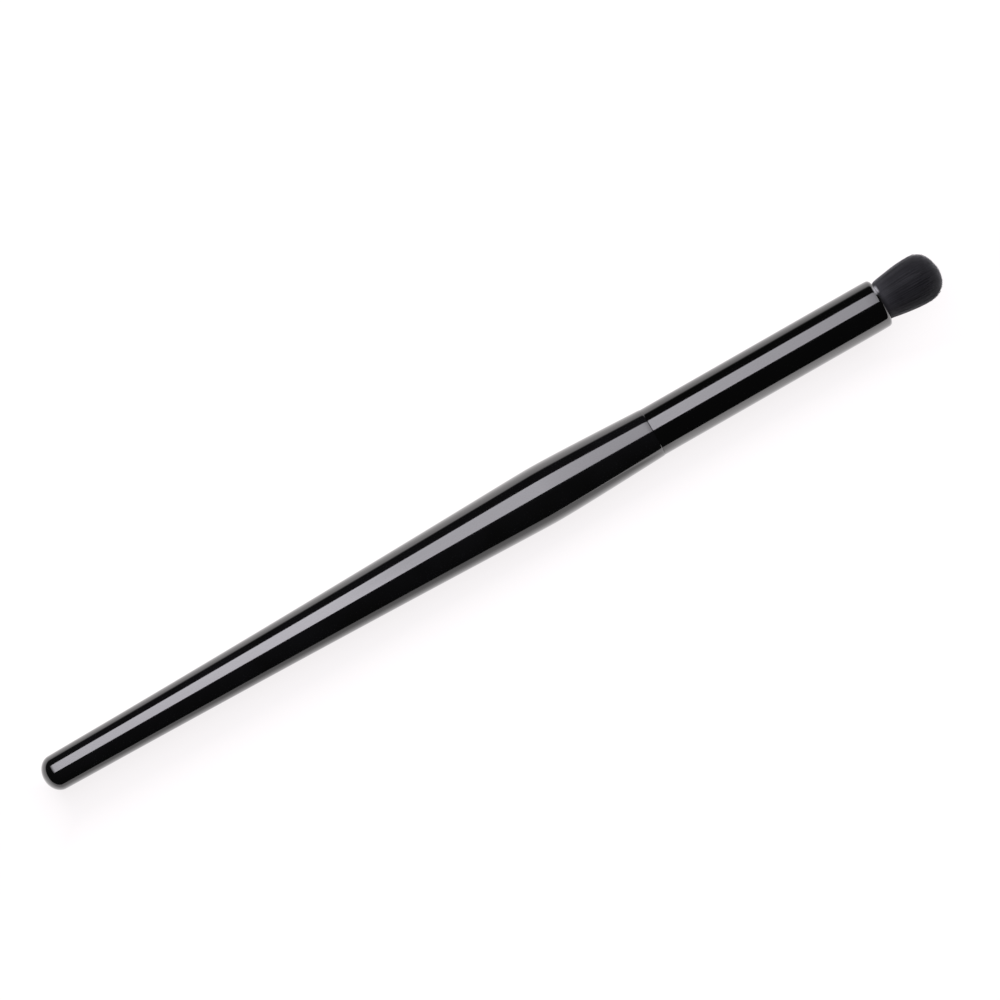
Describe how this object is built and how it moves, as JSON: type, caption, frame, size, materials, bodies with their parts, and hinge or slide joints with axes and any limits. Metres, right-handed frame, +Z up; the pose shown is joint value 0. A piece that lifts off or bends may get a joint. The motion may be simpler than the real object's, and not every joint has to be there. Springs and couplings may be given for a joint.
{
  "type": "eyebrow brush",
  "caption": "Slim cosmetic brush with a glossy black tapered wooden handle, a straight black metal ferrule and a short soft domed tuft, for blending and setting brow or eye make-up.",
  "frame": {"origin": "on the surface the brush lies on, under the middle of its length, where the belly of the handle touches z = 0", "axes": "+X along the brush towards the tip of the tuft, +Z up, +Y to the left when looking along +X"},
  "size_m": [0.1544, 0.0092, 0.0092],
  "materials": {
    "handle_lacquer": "gloss",
    "ferrule_lacquer": "gloss",
    "filament": "matte",
    "tie_thread": "matte",
    "resin": "gloss",
    "wood_glue": "satin"
  },
  "bodies": {
    "root": {"handle": "handle_lacquer", "tenon_adhesive": "wood_glue", "ferrule": "ferrule_lacquer", "root_epoxy": "resin", "tuft_binding": "tie_thread", "bristle_tuft": "filament"}
  },
  "joints": []
}
